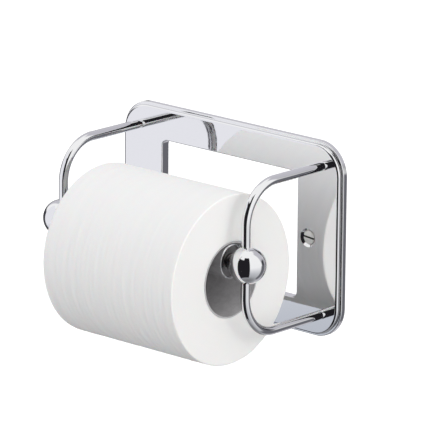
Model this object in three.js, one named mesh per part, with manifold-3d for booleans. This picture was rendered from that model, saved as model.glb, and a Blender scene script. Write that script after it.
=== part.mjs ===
// A wall-mounted toilet paper holder: a framed back plate, two bent wire arms with a ball on each,
// a spring-loaded telescopic roller held between the balls, and one roll of paper on the roller.
//
// Millimetres. +Z is up and +X is to the right for a person who faces the wall. The wall is the
// plane Y = 0, the holder stands out of it towards -Y, and the screws go into it towards +Y.
// The origin is the centre of the plate's back face.

import * as THREE from 'three';
import { mergeVertices } from 'three/addons/utils/BufferGeometryUtils.js';
import Module from 'manifold-3d';

const wasm = await Module();
wasm.setup();

// ---------------------------------------------------------------- driving dimensions

const GAP = 0.3; // between pieces that touch

const PLATE = {
  width: 177.2,
  height: 120,
  thickness: 6,
  cornerRadius: 20,
  rimThickness: 3.5, // the thin outer rim that lies on the wall
  rimWidth: 1.6, // how far the raised field stands in from the plate's edge
  fieldEdgeRadius: 1.6,
};

const OPENING = { width: 110, height: 78, cornerRadius: 4 };

const ARM = {
  radius: 2.8,
  spread: 73.9, // from the middle of the plate to each arm
  legHeight: 45.7, // of the upper and lower legs from the middle of the plate
  reach: 72.5, // from the wall to the middle of the upright stretch
  bendRadius: 24.5,
  threadDepth: 10,
};

const BALL = {
  radius: 11.2,
  spread: 75.5,
  z: -1,
  socketRadius: 2.9,
  socketFloor: 69.5, // how far the socket's floor is from the middle of the plate
};

const WALL_SCREW = {
  spread: 63.5,
  headRadius: 4.1,
  shankRadius: 2,
  length: 28,
  countersinkRadius: 5.7,
  slotWidth: 1.1,
  slotDepth: 1.2,
  slotAngle: THREE.MathUtils.degToRad(-5),
};

const PLUG = { radius: 3.5, start: 3, length: 22, ribHeight: 0.35, ribs: 6, slitWidth: 0.9 };

const ARM_SCREW = { headRadius: 3, shankRadius: 1.5, recess: 0.4, length: 14, slotWidth: 0.8 };

const GRUB_SCREW = { radius: 1.5, length: 6.6, keyRadius: 0.87, keyDepth: 2.4 };

const ROLLER = {
  halfLength: 63.6, // to the rims at both ends
  sleeveRadius: 10.4,
  sleeveWall: 0.9,
  sleeveMouth: -25, // where the sleeve ends and the plunger comes out
  lipLength: 1,
  plungerRadius: 8.6,
  plungerWall: 0.9,
  plungerInnerEnd: -15,
  rimRadius: 0.7,
  capThickness: 3,
  capRecess: 1.4,
  bossRadius: 4.6,
  pinRadius: 2.6,
  pinReach: 69, // how far each pin's tip is from the middle of the plate
  pinHeadRadius: 4.2,
  pinHeadLength: 1.7,
};

const STOP = { flangeLength: 3, spigotLength: 8, noseRadius: 5.4, noseLength: 6 };

const SPRING = { wireRadius: 0.5, coilRadius: 6.5, turns: 11, endPitch: 1.5 };

const ROLL = {
  radius: 51.8,
  length: 104,
  centreX: 11.1,
  coreRadius: 22.1, // inside the cardboard tube
  coreWall: 0.8,
  coreInset: 0.3, // how far the tube stops short of the paper at both ends
  edgeRadius: 1.2,
};

// ---------------------------------------------------------------- fineness of the round pieces

const ROUND = { large: 56, medium: 32, small: 20, tiny: 12 };
const ARM_SIDES = 12;
const ARM_STEPS = 46;
const SPRING_SIDES = 6;
const SPRING_STEPS_PER_TURN = 10;
const WELD_DISTANCE = 1e-4;

// ---------------------------------------------------------------- finishes

const chrome = new THREE.MeshStandardMaterial({ color: 0xd9dadd, roughness: 0.05, metalness: 1 });
const steel = new THREE.MeshStandardMaterial({ color: 0xa9a9a6, roughness: 0.3, metalness: 1 });
const springSteel = new THREE.MeshStandardMaterial({ color: 0x8e9093, roughness: 0.35, metalness: 1 });
const nylon = new THREE.MeshStandardMaterial({ color: 0x9c9c99, roughness: 0.55, metalness: 0 });
const paper = new THREE.MeshStandardMaterial({ color: 0xf4f3f1, roughness: 0.95, metalness: 0 });
const cardboard = new THREE.MeshStandardMaterial({ color: 0x9b9288, roughness: 0.9, metalness: 0 });

// ---------------------------------------------------------------- solids

/** A closed three.js geometry as a solid that can be joined and cut. */
function toSolid(geometry) {
  const bare = geometry.clone();
  bare.deleteAttribute('normal');
  bare.deleteAttribute('uv');
  const welded = mergeVertices(bare, WELD_DISTANCE);
  const corners = welded.index.array;
  const triangles = [];
  for (let i = 0; i < corners.length; i += 3) {
    const [a, b, c] = [corners[i], corners[i + 1], corners[i + 2]];
    const flat = a === b || b === c || c === a;
    if (!flat) triangles.push(a, b, c);
  }
  return new wasm.Manifold(new wasm.Mesh({
    numProp: 3,
    vertProperties: Float32Array.from(welded.attributes.position.array),
    triVerts: Uint32Array.from(triangles),
  }));
}

/** The solid's surface as a three.js geometry. */
function toGeometry(solid) {
  const surface = solid.getMesh();
  const geometry = new THREE.BufferGeometry();
  geometry.setAttribute('position', new THREE.BufferAttribute(surface.vertProperties, 3));
  geometry.setIndex(new THREE.BufferAttribute(surface.triVerts, 1));
  geometry.computeVertexNormals();
  return geometry;
}

/** Everything in the list joined to the first solid. */
function joined(...solids) {
  return solids.reduce((whole, solid) => whole.add(solid));
}

/** The first solid with the others cut out of it. */
function cut(body, ...tools) {
  return tools.reduce((rest, tool) => rest.subtract(tool), body);
}

/**
 * A turned solid. The profile is [radius, distance along the axis] points, anticlockwise with the
 * radius to the right, from axis to axis or closed on itself.
 */
function turned(profile, axis, sides = ROUND.medium) {
  const geometry = new THREE.LatheGeometry(profile.map(([r, s]) => new THREE.Vector2(r, s)), sides);
  if (axis === 'x') geometry.rotateZ(-Math.PI / 2);
  if (axis === 'z') geometry.rotateX(Math.PI / 2);
  return toSolid(geometry);
}

/** A plain round bar between two distances along an axis. */
function bar(radius, from, to, axis, sides = ROUND.small) {
  return turned([[0, from], [radius, from], [radius, to], [0, to]], axis, sides);
}

/** Points of an arc in a profile, from one angle to another in degrees. */
function arcPoints(centre, radius, fromDegrees, toDegrees, steps) {
  const points = [];
  for (let i = 0; i <= steps; i += 1) {
    const angle = THREE.MathUtils.degToRad(THREE.MathUtils.lerp(fromDegrees, toDegrees, i / steps));
    points.push([centre[0] + radius * Math.cos(angle), centre[1] + radius * Math.sin(angle)]);
  }
  return points;
}

/** A rectangle with round corners, centred on the origin. */
function roundedRectangle(width, height, radius) {
  const [x, y] = [width / 2 - radius, height / 2 - radius];
  const shape = new THREE.Shape();
  shape.absarc(x, y, radius, 0, Math.PI / 2);
  shape.absarc(-x, y, radius, Math.PI / 2, Math.PI);
  shape.absarc(-x, -y, radius, Math.PI, 1.5 * Math.PI);
  shape.absarc(x, -y, radius, 1.5 * Math.PI, 2 * Math.PI);
  shape.closePath();
  return shape;
}

/** An outline in the plane of the wall, thickened from one distance off the wall to another. */
function slab(shape, from, to, cornerSteps, edgeRadius = 0) {
  const geometry = new THREE.ExtrudeGeometry(shape, {
    depth: to - from - 2 * edgeRadius,
    curveSegments: cornerSteps / 2,
    bevelEnabled: edgeRadius > 0,
    bevelThickness: edgeRadius,
    bevelSize: edgeRadius,
    bevelOffset: -edgeRadius,
    bevelSegments: 3,
  });
  geometry.translate(0, 0, from + edgeRadius);
  geometry.rotateX(Math.PI / 2);
  return toSolid(geometry);
}

/** A box between two corners. */
function block(low, high) {
  const size = high.map((value, i) => value - low[i]);
  const geometry = new THREE.BoxGeometry(...size);
  geometry.translate(...low.map((value, i) => value + size[i] / 2));
  return toSolid(geometry);
}

// ---------------------------------------------------------------- back plate

/**
 * A hole for a countersunk screw along Y, its mouth on the plane Y = mouth. into is -1 where the
 * hole goes towards -Y and 1 where it goes towards +Y.
 */
function countersink(mouth, mouthRadius, shankRadius, into) {
  const margin = 1;
  const coneDepth = mouthRadius - shankRadius;
  const profile = [
    [0, -margin],
    [mouthRadius, -margin],
    [mouthRadius, 0],
    [shankRadius, coneDepth],
    [shankRadius, PLATE.thickness + margin],
    [0, PLATE.thickness + margin],
  ];
  const hole = turned(profile, 'y', ROUND.small);
  return (into > 0 ? hole : hole.rotate([180, 0, 0])).translate([0, mouth, 0]);
}

function backPlate() {
  const outline = roundedRectangle(PLATE.width, PLATE.height, PLATE.cornerRadius);
  const field = roundedRectangle(
    PLATE.width - 2 * PLATE.rimWidth,
    PLATE.height - 2 * PLATE.rimWidth,
    PLATE.cornerRadius - PLATE.rimWidth,
  );
  const opening = roundedRectangle(OPENING.width, OPENING.height, OPENING.cornerRadius);
  const rim = slab(outline, 0, PLATE.rimThickness, 8);
  const raised = slab(field, 0.5, PLATE.thickness, 8, PLATE.fieldEdgeRadius);
  const cuts = [slab(opening, -1, PLATE.thickness + 1, 4)];
  for (const side of [-1, 1]) {
    const wallHole = countersink(
      -PLATE.thickness, WALL_SCREW.countersinkRadius, WALL_SCREW.shankRadius + GAP, 1);
    cuts.push(wallHole.translate([side * WALL_SCREW.spread, 0, 0]));
    for (const level of [-1, 1]) {
      const armHole = countersink(0, ARM_SCREW.headRadius + 1, ARM_SCREW.shankRadius + GAP, -1);
      cuts.push(armHole.translate([side * ARM.spread, 0, level * ARM.legHeight]));
    }
  }
  return cut(joined(rim, raised), ...cuts);
}

// ---------------------------------------------------------------- wire arms and their screws

/** A quarter circle in the plane X = 0, as a three.js curve. */
class BendCurve extends THREE.Curve {
  constructor(centreY, centreZ, radius, fromAngle, toAngle) {
    super();
    Object.assign(this, { centreY, centreZ, radius, fromAngle, toAngle });
  }

  getPoint(t, target = new THREE.Vector3()) {
    const angle = THREE.MathUtils.lerp(this.fromAngle, this.toAngle, t);
    return target.set(
      0,
      this.centreY + this.radius * Math.cos(angle),
      this.centreZ + this.radius * Math.sin(angle),
    );
  }
}

/** The arm's centre line: out from the plate, down the front and back to the plate. */
function armPath() {
  const start = -(PLATE.thickness + GAP);
  const bendY = -(ARM.reach - ARM.bendRadius);
  const bendZ = ARM.legHeight - ARM.bendRadius;
  const point = (y, z) => new THREE.Vector3(0, y, z);
  const path = new THREE.CurvePath();
  path.add(new THREE.LineCurve3(point(start, ARM.legHeight), point(bendY, ARM.legHeight)));
  path.add(new BendCurve(bendY, bendZ, ARM.bendRadius, Math.PI / 2, Math.PI));
  path.add(new THREE.LineCurve3(point(-ARM.reach, bendZ), point(-ARM.reach, -bendZ)));
  path.add(new BendCurve(bendY, -bendZ, ARM.bendRadius, Math.PI, 1.5 * Math.PI));
  path.add(new THREE.LineCurve3(point(bendY, -ARM.legHeight), point(start, -ARM.legHeight)));
  return path;
}

function wireArm() {
  const section = new THREE.Shape();
  section.absarc(0, 0, ARM.radius, 0, 2 * Math.PI);
  const wire = toSolid(new THREE.ExtrudeGeometry(section, {
    extrudePath: armPath(),
    steps: ARM_STEPS,
    curveSegments: ARM_SIDES / 2,
  }));
  const threadEnd = -(PLATE.thickness + ARM.threadDepth);
  const holes = [-1, 1].map((level) => bar(
    ARM_SCREW.shankRadius + GAP, threadEnd, 0, 'y', ROUND.tiny,
  ).translate([0, 0, level * ARM.legHeight]));
  return cut(wire, ...holes);
}

/**
 * A slotted countersunk screw along Y. Its head's flat top is at Y = 0, and its point is towards
 * +Y. tip is the length of its tapered end.
 */
function slottedScrew({ headRadius, shankRadius, length, slotWidth, slotDepth, tip }) {
  const edge = 0.2;
  const profile = [
    [0, 0],
    [headRadius, 0],
    [headRadius, edge],
    [shankRadius, edge + headRadius - shankRadius],
    [shankRadius, length - tip],
    [shankRadius * 0.25, length],
    [0, length],
  ];
  const slot = block(
    [-headRadius - 1, -1, -slotWidth / 2],
    [headRadius + 1, slotDepth, slotWidth / 2],
  );
  return cut(turned(profile, 'y', ROUND.small), slot);
}

// ---------------------------------------------------------------- balls and their grub screws

/** The right-hand ball about its own centre. The left-hand one is the same, turned half round Y. */
function ball() {
  const wireX = ARM.spread - BALL.spread;
  const sphere = toSolid(new THREE.SphereGeometry(BALL.radius, 26, 16));
  const wireHole = bar(ARM.radius + GAP, -BALL.radius - 1, BALL.radius + 1, 'z');
  const socket = bar(BALL.socketRadius, -BALL.radius - 1, BALL.socketFloor - BALL.spread, 'x');
  const grubHole = bar(GRUB_SCREW.radius + GAP, 0, BALL.radius + 1, 'y', ROUND.tiny);
  return cut(
    sphere,
    wireHole.translate([wireX, 0, 0]),
    socket,
    grubHole.translate([wireX, 0, 0]),
  );
}

/** A set screw along Y that starts at Y = 0 and has its hexagon socket at the far end. */
function grubScrew() {
  const chamfer = 0.4;
  const { radius, length, keyRadius, keyDepth } = GRUB_SCREW;
  const profile = [
    [0, 0],
    [radius - chamfer, 0],
    [radius, chamfer],
    [radius, length],
    [0, length],
  ];
  const key = bar(keyRadius, length - keyDepth, length + 1, 'y', 6);
  return cut(turned(profile, 'y', ROUND.tiny), key);
}

// ---------------------------------------------------------------- wall plugs

/** A ribbed expanding plug along Y, its mouth at Y = 0, blind at its far end, with a slit. */
function wallPlug() {
  const { radius, length, ribHeight, ribs, slitWidth } = PLUG;
  const bore = WALL_SCREW.shankRadius + GAP;
  const nose = 4;
  const ribPitch = (length - nose) / ribs;
  const profile = [[bore, 0]];
  for (let i = 0; i < ribs; i += 1) {
    profile.push([radius, i * ribPitch], [radius - ribHeight, (i + 1) * ribPitch]);
  }
  profile.push([radius * 0.5, length], [0, length], [0, length - 1.2], [bore, length - nose + 1]);
  profile.push([bore, 0]);
  const slit = block(
    [-slitWidth / 2, length * 0.3, -radius - 1],
    [slitWidth / 2, length * 0.75, radius + 1],
  );
  return cut(turned(profile, 'y', ROUND.small), slit);
}

// ---------------------------------------------------------------- roller, along X about its own axis

/** The outer tube, open at the right for its cap and with a lip at its mouth that holds the stop. */
function rollerSleeve() {
  const { sleeveRadius: outer, sleeveWall, sleeveMouth: mouth, lipLength, rimRadius } = ROLLER;
  const bore = outer - sleeveWall;
  const lip = ROLLER.plungerRadius + GAP;
  const end = ROLLER.halfLength;
  return turned([
    [lip, mouth],
    ...arcPoints([outer - rimRadius, mouth + rimRadius], rimRadius, -90, 0, 3),
    ...arcPoints([outer - rimRadius, end - rimRadius], rimRadius, 0, 90, 3),
    [bore, end],
    [bore, mouth + lipLength],
    [lip, mouth + lipLength],
    [lip, mouth],
  ], 'x');
}

/** The inner tube that slides in the sleeve. */
function rollerPlunger() {
  const { plungerRadius: outer, plungerWall, plungerInnerEnd, rimRadius, halfLength } = ROLLER;
  const bore = outer - plungerWall;
  return turned([
    [bore, -halfLength],
    ...arcPoints([outer - rimRadius, -halfLength + rimRadius], rimRadius, -90, 0, 3),
    [outer, plungerInnerEnd],
    [bore, plungerInnerEnd],
    [bore, -halfLength],
  ], 'x');
}

/** An end cap at the right-hand end of a tube with this bore. */
function rollerCap(tubeBore) {
  const { halfLength, capRecess, capThickness, bossRadius, pinRadius } = ROLLER;
  const outerFace = halfLength - capRecess;
  const innerFace = outerFace - capThickness;
  const radius = tubeBore - GAP;
  const hole = pinRadius + GAP;
  return turned([
    [hole, innerFace],
    [radius, innerFace],
    [radius, outerFace],
    [bossRadius, outerFace],
    [bossRadius, halfLength - GAP],
    [hole, halfLength - GAP],
    [hole, innerFace],
  ], 'x');
}

/** The pin at the right-hand end, with its head inside the cap. */
function rollerPin() {
  const { halfLength, capRecess, capThickness, pinRadius, pinHeadRadius } = ROLLER;
  const headEnd = halfLength - capRecess - capThickness - GAP;
  const chamfer = 0.6;
  return turned([
    [0, headEnd - ROLLER.pinHeadLength],
    [pinHeadRadius, headEnd - ROLLER.pinHeadLength],
    [pinHeadRadius, headEnd],
    [pinRadius, headEnd],
    [pinRadius, ROLLER.pinReach - chamfer],
    [pinRadius - chamfer, ROLLER.pinReach],
    [0, ROLLER.pinReach],
  ], 'x', ROUND.small);
}

/** The plug at the plunger's inner end: it guides the plunger, stops it at the lip and seats the spring. */
function plungerStop() {
  const flangeStart = ROLLER.plungerInnerEnd + GAP;
  const flangeEnd = flangeStart + STOP.flangeLength;
  const flangeRadius = ROLLER.sleeveRadius - ROLLER.sleeveWall - GAP;
  const spigotRadius = ROLLER.plungerRadius - ROLLER.plungerWall - GAP;
  return turned([
    [0, flangeStart - STOP.spigotLength],
    [spigotRadius, flangeStart - STOP.spigotLength],
    [spigotRadius, flangeStart],
    [flangeRadius, flangeStart],
    [flangeRadius, flangeEnd],
    [STOP.noseRadius, flangeEnd],
    [STOP.noseRadius, flangeEnd + STOP.noseLength],
    [0, flangeEnd + STOP.noseLength],
  ], 'x');
}

/** The centre line of a compression spring along X whose first and last turns are closed up. */
class SpringCurve extends THREE.Curve {
  constructor(start, end) {
    super();
    Object.assign(this, { start, end });
  }

  getPoint(t, target = new THREE.Vector3()) {
    const turn = t * SPRING.turns;
    const openPitch = (this.end - this.start - 2 * SPRING.endPitch) / (SPRING.turns - 2);
    const opened = THREE.MathUtils.clamp(turn - 1, 0, SPRING.turns - 2);
    const x = this.start + opened * openPitch + (turn - opened) * SPRING.endPitch;
    const angle = 2 * Math.PI * turn;
    return target.set(x, SPRING.coilRadius * Math.cos(angle), SPRING.coilRadius * Math.sin(angle));
  }
}

function rollerSpring() {
  const seatLeft = ROLLER.plungerInnerEnd + GAP + STOP.flangeLength;
  const seatRight = ROLLER.halfLength - ROLLER.capRecess - ROLLER.capThickness;
  const inset = GAP + SPRING.wireRadius;
  const section = new THREE.Shape();
  section.absarc(0, 0, SPRING.wireRadius, 0, 2 * Math.PI);
  return toSolid(new THREE.ExtrudeGeometry(section, {
    extrudePath: new SpringCurve(seatLeft + inset, seatRight - inset),
    steps: SPRING.turns * SPRING_STEPS_PER_TURN,
    curveSegments: SPRING_SIDES / 2,
  }));
}

// ---------------------------------------------------------------- roll of paper, along X

/** A ring with soft outer edges, centred on X = 0. */
function ring(innerRadius, outerRadius, length, edgeRadius) {
  const half = length / 2;
  const edge = [outerRadius - edgeRadius, half - edgeRadius];
  return turned([
    [innerRadius, -half],
    ...arcPoints([edge[0], -edge[1]], edgeRadius, -90, 0, 3),
    ...arcPoints(edge, edgeRadius, 0, 90, 3),
    [innerRadius, half],
    [innerRadius, -half],
  ], 'x', ROUND.large);
}

/** The cardboard tube in the middle of the roll, a plain ring centred on X = 0. */
function cardboardCore() {
  const half = ROLL.length / 2 - ROLL.coreInset;
  const outer = ROLL.coreRadius + ROLL.coreWall;
  return turned([
    [ROLL.coreRadius, -half],
    [outer, -half],
    [outer, half],
    [ROLL.coreRadius, half],
    [ROLL.coreRadius, -half],
  ], 'x', ROUND.large);
}

// ---------------------------------------------------------------- assembly

/** Adds one named piece to a group and returns it, so that it can be placed. */
function addPiece(group, name, solid, material) {
  const mesh = new THREE.Mesh(toGeometry(solid), material);
  mesh.name = name;
  group.add(mesh);
  return mesh;
}

const holder = new THREE.Group();

addPiece(holder, 'back_plate', backPlate(), chrome);

const wallScrewTop = -PLATE.thickness
  + WALL_SCREW.countersinkRadius - WALL_SCREW.headRadius - GAP * Math.SQRT2;

const sides = [
  { name: 'left', sign: -1, turn: Math.PI },
  { name: 'right', sign: 1, turn: 0 },
];
const levels = [
  { name: 'upper', sign: 1 },
  { name: 'lower', sign: -1 },
];

for (const side of sides) {
  const arm = addPiece(holder, `${side.name}_wire_arm`, wireArm(), chrome);
  arm.position.x = side.sign * ARM.spread;

  for (const level of levels) {
    const armScrew = slottedScrew({ ...ARM_SCREW, slotDepth: 0.8, tip: 1 });
    const screw = addPiece(holder, `${side.name}_${level.name}_arm_screw`, armScrew, steel);
    screw.position.set(side.sign * ARM.spread, -ARM_SCREW.recess, level.sign * ARM.legHeight);
    screw.rotation.x = Math.PI;
  }

  const ballPiece = addPiece(holder, `${side.name}_ball`, ball(), chrome);
  ballPiece.position.set(side.sign * BALL.spread, -ARM.reach, BALL.z);
  ballPiece.rotation.y = side.turn;

  const grub = addPiece(holder, `${side.name}_ball_grub_screw`, grubScrew(), steel);
  grub.position.set(side.sign * ARM.spread, -ARM.reach + ARM.radius + GAP, BALL.z);

  const wallScrew = addPiece(
    holder, `${side.name}_wall_screw`, slottedScrew({ ...WALL_SCREW, tip: 5 }), steel);
  wallScrew.position.set(side.sign * WALL_SCREW.spread, wallScrewTop, 0);
  wallScrew.rotation.y = -WALL_SCREW.slotAngle;

  const plug = addPiece(holder, `${side.name}_wall_plug`, wallPlug(), nylon);
  plug.position.set(side.sign * WALL_SCREW.spread, PLUG.start, 0);
}

const roller = new THREE.Group();
roller.position.set(0, -ARM.reach, BALL.z);
holder.add(roller);

const sleeveBore = ROLLER.sleeveRadius - ROLLER.sleeveWall;
const plungerBore = ROLLER.plungerRadius - ROLLER.plungerWall;
addPiece(roller, 'roller_sleeve', rollerSleeve(), chrome);
addPiece(roller, 'roller_sleeve_cap', rollerCap(sleeveBore), chrome);
addPiece(roller, 'roller_sleeve_pin', rollerPin(), steel);
addPiece(roller, 'roller_spring', rollerSpring(), springSteel);
addPiece(roller, 'roller_plunger', rollerPlunger(), chrome);
addPiece(roller, 'roller_plunger_cap', rollerCap(plungerBore), chrome).rotation.y = Math.PI;
addPiece(roller, 'roller_plunger_pin', rollerPin(), steel).rotation.y = Math.PI;
addPiece(roller, 'roller_plunger_stop', plungerStop(), nylon);

const roll = new THREE.Group();
const rollDrop = ROLL.coreRadius - ROLLER.sleeveRadius - GAP;
roll.position.set(ROLL.centreX, -ARM.reach, BALL.z - rollDrop);
holder.add(roll);

const paperBore = ROLL.coreRadius + ROLL.coreWall + GAP;
addPiece(roll, 'paper_roll', ring(paperBore, ROLL.radius, ROLL.length, ROLL.edgeRadius), paper);
addPiece(roll, 'cardboard_core', cardboardCore(), cardboard);

export default holder;
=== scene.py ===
"""The toilet paper holder's looks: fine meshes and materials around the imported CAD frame.

Metres, in the CAD's own frame: +X right and +Z up for a person who faces the wall, the wall at
Y = 0 and the holder in front of it, towards -Y.
"""
import math

import bmesh
import bpy
from mathutils import Matrix, Vector, geometry, noise


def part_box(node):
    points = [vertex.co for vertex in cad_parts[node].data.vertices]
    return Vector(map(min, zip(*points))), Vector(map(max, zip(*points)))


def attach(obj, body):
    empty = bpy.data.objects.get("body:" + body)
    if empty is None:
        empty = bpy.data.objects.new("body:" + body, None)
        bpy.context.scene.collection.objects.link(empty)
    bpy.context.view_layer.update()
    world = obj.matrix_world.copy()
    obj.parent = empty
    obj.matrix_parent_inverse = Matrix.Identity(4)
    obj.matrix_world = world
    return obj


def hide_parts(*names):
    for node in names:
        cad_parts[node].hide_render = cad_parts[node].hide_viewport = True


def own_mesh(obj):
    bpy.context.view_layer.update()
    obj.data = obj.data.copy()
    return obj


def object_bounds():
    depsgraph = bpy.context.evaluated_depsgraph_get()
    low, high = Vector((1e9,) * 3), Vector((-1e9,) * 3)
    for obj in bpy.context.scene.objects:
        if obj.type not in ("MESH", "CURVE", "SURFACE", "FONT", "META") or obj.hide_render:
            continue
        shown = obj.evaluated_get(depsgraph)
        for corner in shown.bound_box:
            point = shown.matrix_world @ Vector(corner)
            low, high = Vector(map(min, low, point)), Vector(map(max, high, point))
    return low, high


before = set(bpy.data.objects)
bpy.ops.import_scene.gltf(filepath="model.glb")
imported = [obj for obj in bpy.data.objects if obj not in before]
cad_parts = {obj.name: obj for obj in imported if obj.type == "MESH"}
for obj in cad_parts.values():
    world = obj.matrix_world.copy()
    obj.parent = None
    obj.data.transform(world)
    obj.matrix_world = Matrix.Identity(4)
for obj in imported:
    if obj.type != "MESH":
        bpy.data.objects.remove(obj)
CAD_LOW, CAD_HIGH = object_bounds()

MM = 0.001
TAU = 2 * math.pi

# ------------------------------------------------------------------ sizes taken from the frame

PLATE_LOW, PLATE_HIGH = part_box("back_plate")
PLATE_WIDTH = PLATE_HIGH.x - PLATE_LOW.x
PLATE_HEIGHT = PLATE_HIGH.z - PLATE_LOW.z
PLATE_THICKNESS = PLATE_HIGH.y - PLATE_LOW.y

ARM_LOW, ARM_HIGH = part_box("right_wire_arm")
WIRE_RADIUS = (ARM_HIGH.x - ARM_LOW.x) / 2
ARM_SPREAD = (ARM_HIGH.x + ARM_LOW.x) / 2
LEG_HEIGHT = ARM_HIGH.z - WIRE_RADIUS
REACH = -ARM_LOW.y - WIRE_RADIUS

BALL_LOW, BALL_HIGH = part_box("right_ball")
BALL_RADIUS = (BALL_HIGH.y - BALL_LOW.y) / 2
BALL_CENTRE = Vector((BALL_HIGH.x - BALL_RADIUS, -REACH, (BALL_HIGH.z + BALL_LOW.z) / 2))

SLEEVE_LOW, SLEEVE_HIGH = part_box("roller_sleeve")
SLEEVE_RADIUS = (SLEEVE_HIGH.z - SLEEVE_LOW.z) / 2
ROLLER_HALF = SLEEVE_HIGH.x
ROLLER_AXIS = Vector((0, -REACH, BALL_CENTRE.z))

PLUNGER_LOW, PLUNGER_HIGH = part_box("roller_plunger")
PLUNGER_RADIUS = (PLUNGER_HIGH.z - PLUNGER_LOW.z) / 2

ROLL_LOW, ROLL_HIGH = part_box("paper_roll")
ROLL_RADIUS = (ROLL_HIGH.z - ROLL_LOW.z) / 2
ROLL_CENTRE = (ROLL_LOW + ROLL_HIGH) / 2

CORE_LOW, CORE_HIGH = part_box("cardboard_core")
CORE_RADIUS = (CORE_HIGH.z - CORE_LOW.z) / 2

# ------------------------------------------------------------------ sizes of the fine shapes

PLATE_CORNER = 20 * MM
RIM_THICKNESS = 3.5 * MM
RIM_WIDTH = 1.6 * MM
RIM_EDGE = 0.7 * MM
FIELD_EDGE = 1.6 * MM
OPENING_WIDTH = 110 * MM
OPENING_HEIGHT = 78 * MM
OPENING_CORNER = 4 * MM
OPENING_EDGE = 0.7 * MM
COUNTERSINK_RADIUS = 5.7 * MM
WALL_SCREW_HOLE = 2.3 * MM
ARM_SCREW_HOLE = 1.8 * MM
ARM_SCREW_MOUTH = 4 * MM
BEND_RADIUS = 24.5 * MM
TUBE_WALL = 0.9 * MM
SOCKET_RADIUS = 2.9 * MM
PIN_RADIUS = 2.6 * MM
BOSS_RADIUS = 4.6 * MM
CORE_WALL = 0.8 * MM
PAPER_GAP = 0.15 * MM
TAIL_ANGLE = -65  # degrees about the roll from +Y towards +Z: the free edge is underneath

WALL_SCREW = {
    "head_radius": 4.1 * MM,
    "shank_radius": 2 * MM,
    "slot_width": 1.1 * MM,
    "slot_depth": 1.2 * MM,
    "slot_angle": math.radians(5),
    "thread_start": 8 * MM,
    "point_start": 23 * MM,
    "pitch": 1.9 * MM,
    "thread_depth": 0.45 * MM,
}
ARM_SCREW = {
    "head_radius": 3 * MM,
    "shank_radius": 1.5 * MM,
    "slot_width": 0.8 * MM,
    "slot_depth": 0.8 * MM,
    "slot_angle": 0.0,
    "thread_start": 2.5 * MM,
    "point_start": 13 * MM,
    "pitch": 0.5 * MM,
    "thread_depth": 0.2 * MM,
}

# ------------------------------------------------------------------ node helpers


class Nodes:
    """Short calls for building a node tree. Values may be sockets or plain numbers."""

    def __init__(self, tree):
        self.tree = tree
        self.tree.nodes.clear()

    def add(self, kind, **settings):
        node = self.tree.nodes.new(kind)
        for name, value in settings.items():
            setattr(node, name, value)
        return node

    def feed(self, socket, value):
        if isinstance(value, bpy.types.NodeSocket):
            self.tree.links.new(value, socket)
        elif value is not None:
            socket.default_value = value

    def math(self, operation, a, b=None):
        node = self.add("ShaderNodeMath", operation=operation)
        self.feed(node.inputs[0], a)
        self.feed(node.inputs[1], b)
        return node.outputs[0]

    def ramp(self, value, low, high, to_low=0.0, to_high=1.0, kind="SMOOTHSTEP"):
        """value mapped from low..high to to_low..to_high."""
        node = self.add("ShaderNodeMapRange", interpolation_type=kind)
        for socket, item in zip(node.inputs, (value, low, high, to_low, to_high)):
            self.feed(socket, item)
        return node.outputs[0]

    def object_point(self, centre=(0, 0, 0), scale=(1, 1, 1)):
        """The surface point in the piece's own frame, from a centre, stretched by scale."""
        place = self.add("ShaderNodeTexCoord").outputs["Object"]
        node = self.add("ShaderNodeMapping", vector_type="TEXTURE")
        self.feed(node.inputs["Vector"], place)
        self.feed(node.inputs["Location"], centre)
        self.feed(node.inputs["Scale"], tuple(1 / s for s in scale))
        return node.outputs[0]

    def noise(self, vector, scale, detail=2.0, roughness=0.5):
        node = self.add("ShaderNodeTexNoise")
        self.feed(node.inputs["Vector"], vector)
        self.feed(node.inputs["Scale"], scale)
        self.feed(node.inputs["Detail"], detail)
        self.feed(node.inputs["Roughness"], roughness)
        return node.outputs["Fac"]

    def blend(self, factor, a, b):
        """Colour a where factor is 0 and colour b where it is 1."""
        node = self.add("ShaderNodeMix", data_type="RGBA")
        self.feed(node.inputs["Factor"], factor)
        self.feed(node.inputs[6], a)
        self.feed(node.inputs[7], b)
        return node.outputs[2]

    def bump(self, height, strength, distance):
        node = self.add("ShaderNodeBump")
        self.feed(node.inputs["Height"], height)
        self.feed(node.inputs["Strength"], strength)
        self.feed(node.inputs["Distance"], distance)
        return node.outputs[0]

    def surface(self, **inputs):
        """The Principled shader, its inputs named with underscores for spaces."""
        shader = self.add("ShaderNodeBsdfPrincipled")
        for name, value in inputs.items():
            self.feed(shader.inputs[name.replace("_", " ")], value)
        output = self.add("ShaderNodeOutputMaterial")
        self.feed(output.inputs["Surface"], shader.outputs[0])


def material(name):
    made = bpy.data.materials.new(name)
    made.use_nodes = True
    return made, Nodes(made.node_tree)


# ------------------------------------------------------------------ materials


def chrome_material(name, tone, wear):
    """Polished chrome: near-mirror, with a faint polishing haze and hairlines finer than a scratch."""
    made, n = material(name)
    point = n.object_point()
    haze = n.noise(point, 28, 3)
    hairlines = n.noise(n.object_point(scale=(1, 0.06, 0.9)), 900, 2)
    tint = n.blend(haze, (*tone, 1), (*[c * 0.985 for c in tone], 1))
    n.surface(
        Base_Color=tint,
        Metallic=1.0,
        Roughness=n.ramp(haze, 0.35, 0.75, 0.02, 0.02 + wear),
        Normal=n.bump(hairlines, 0.012, 0.0002),
    )
    return made


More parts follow.
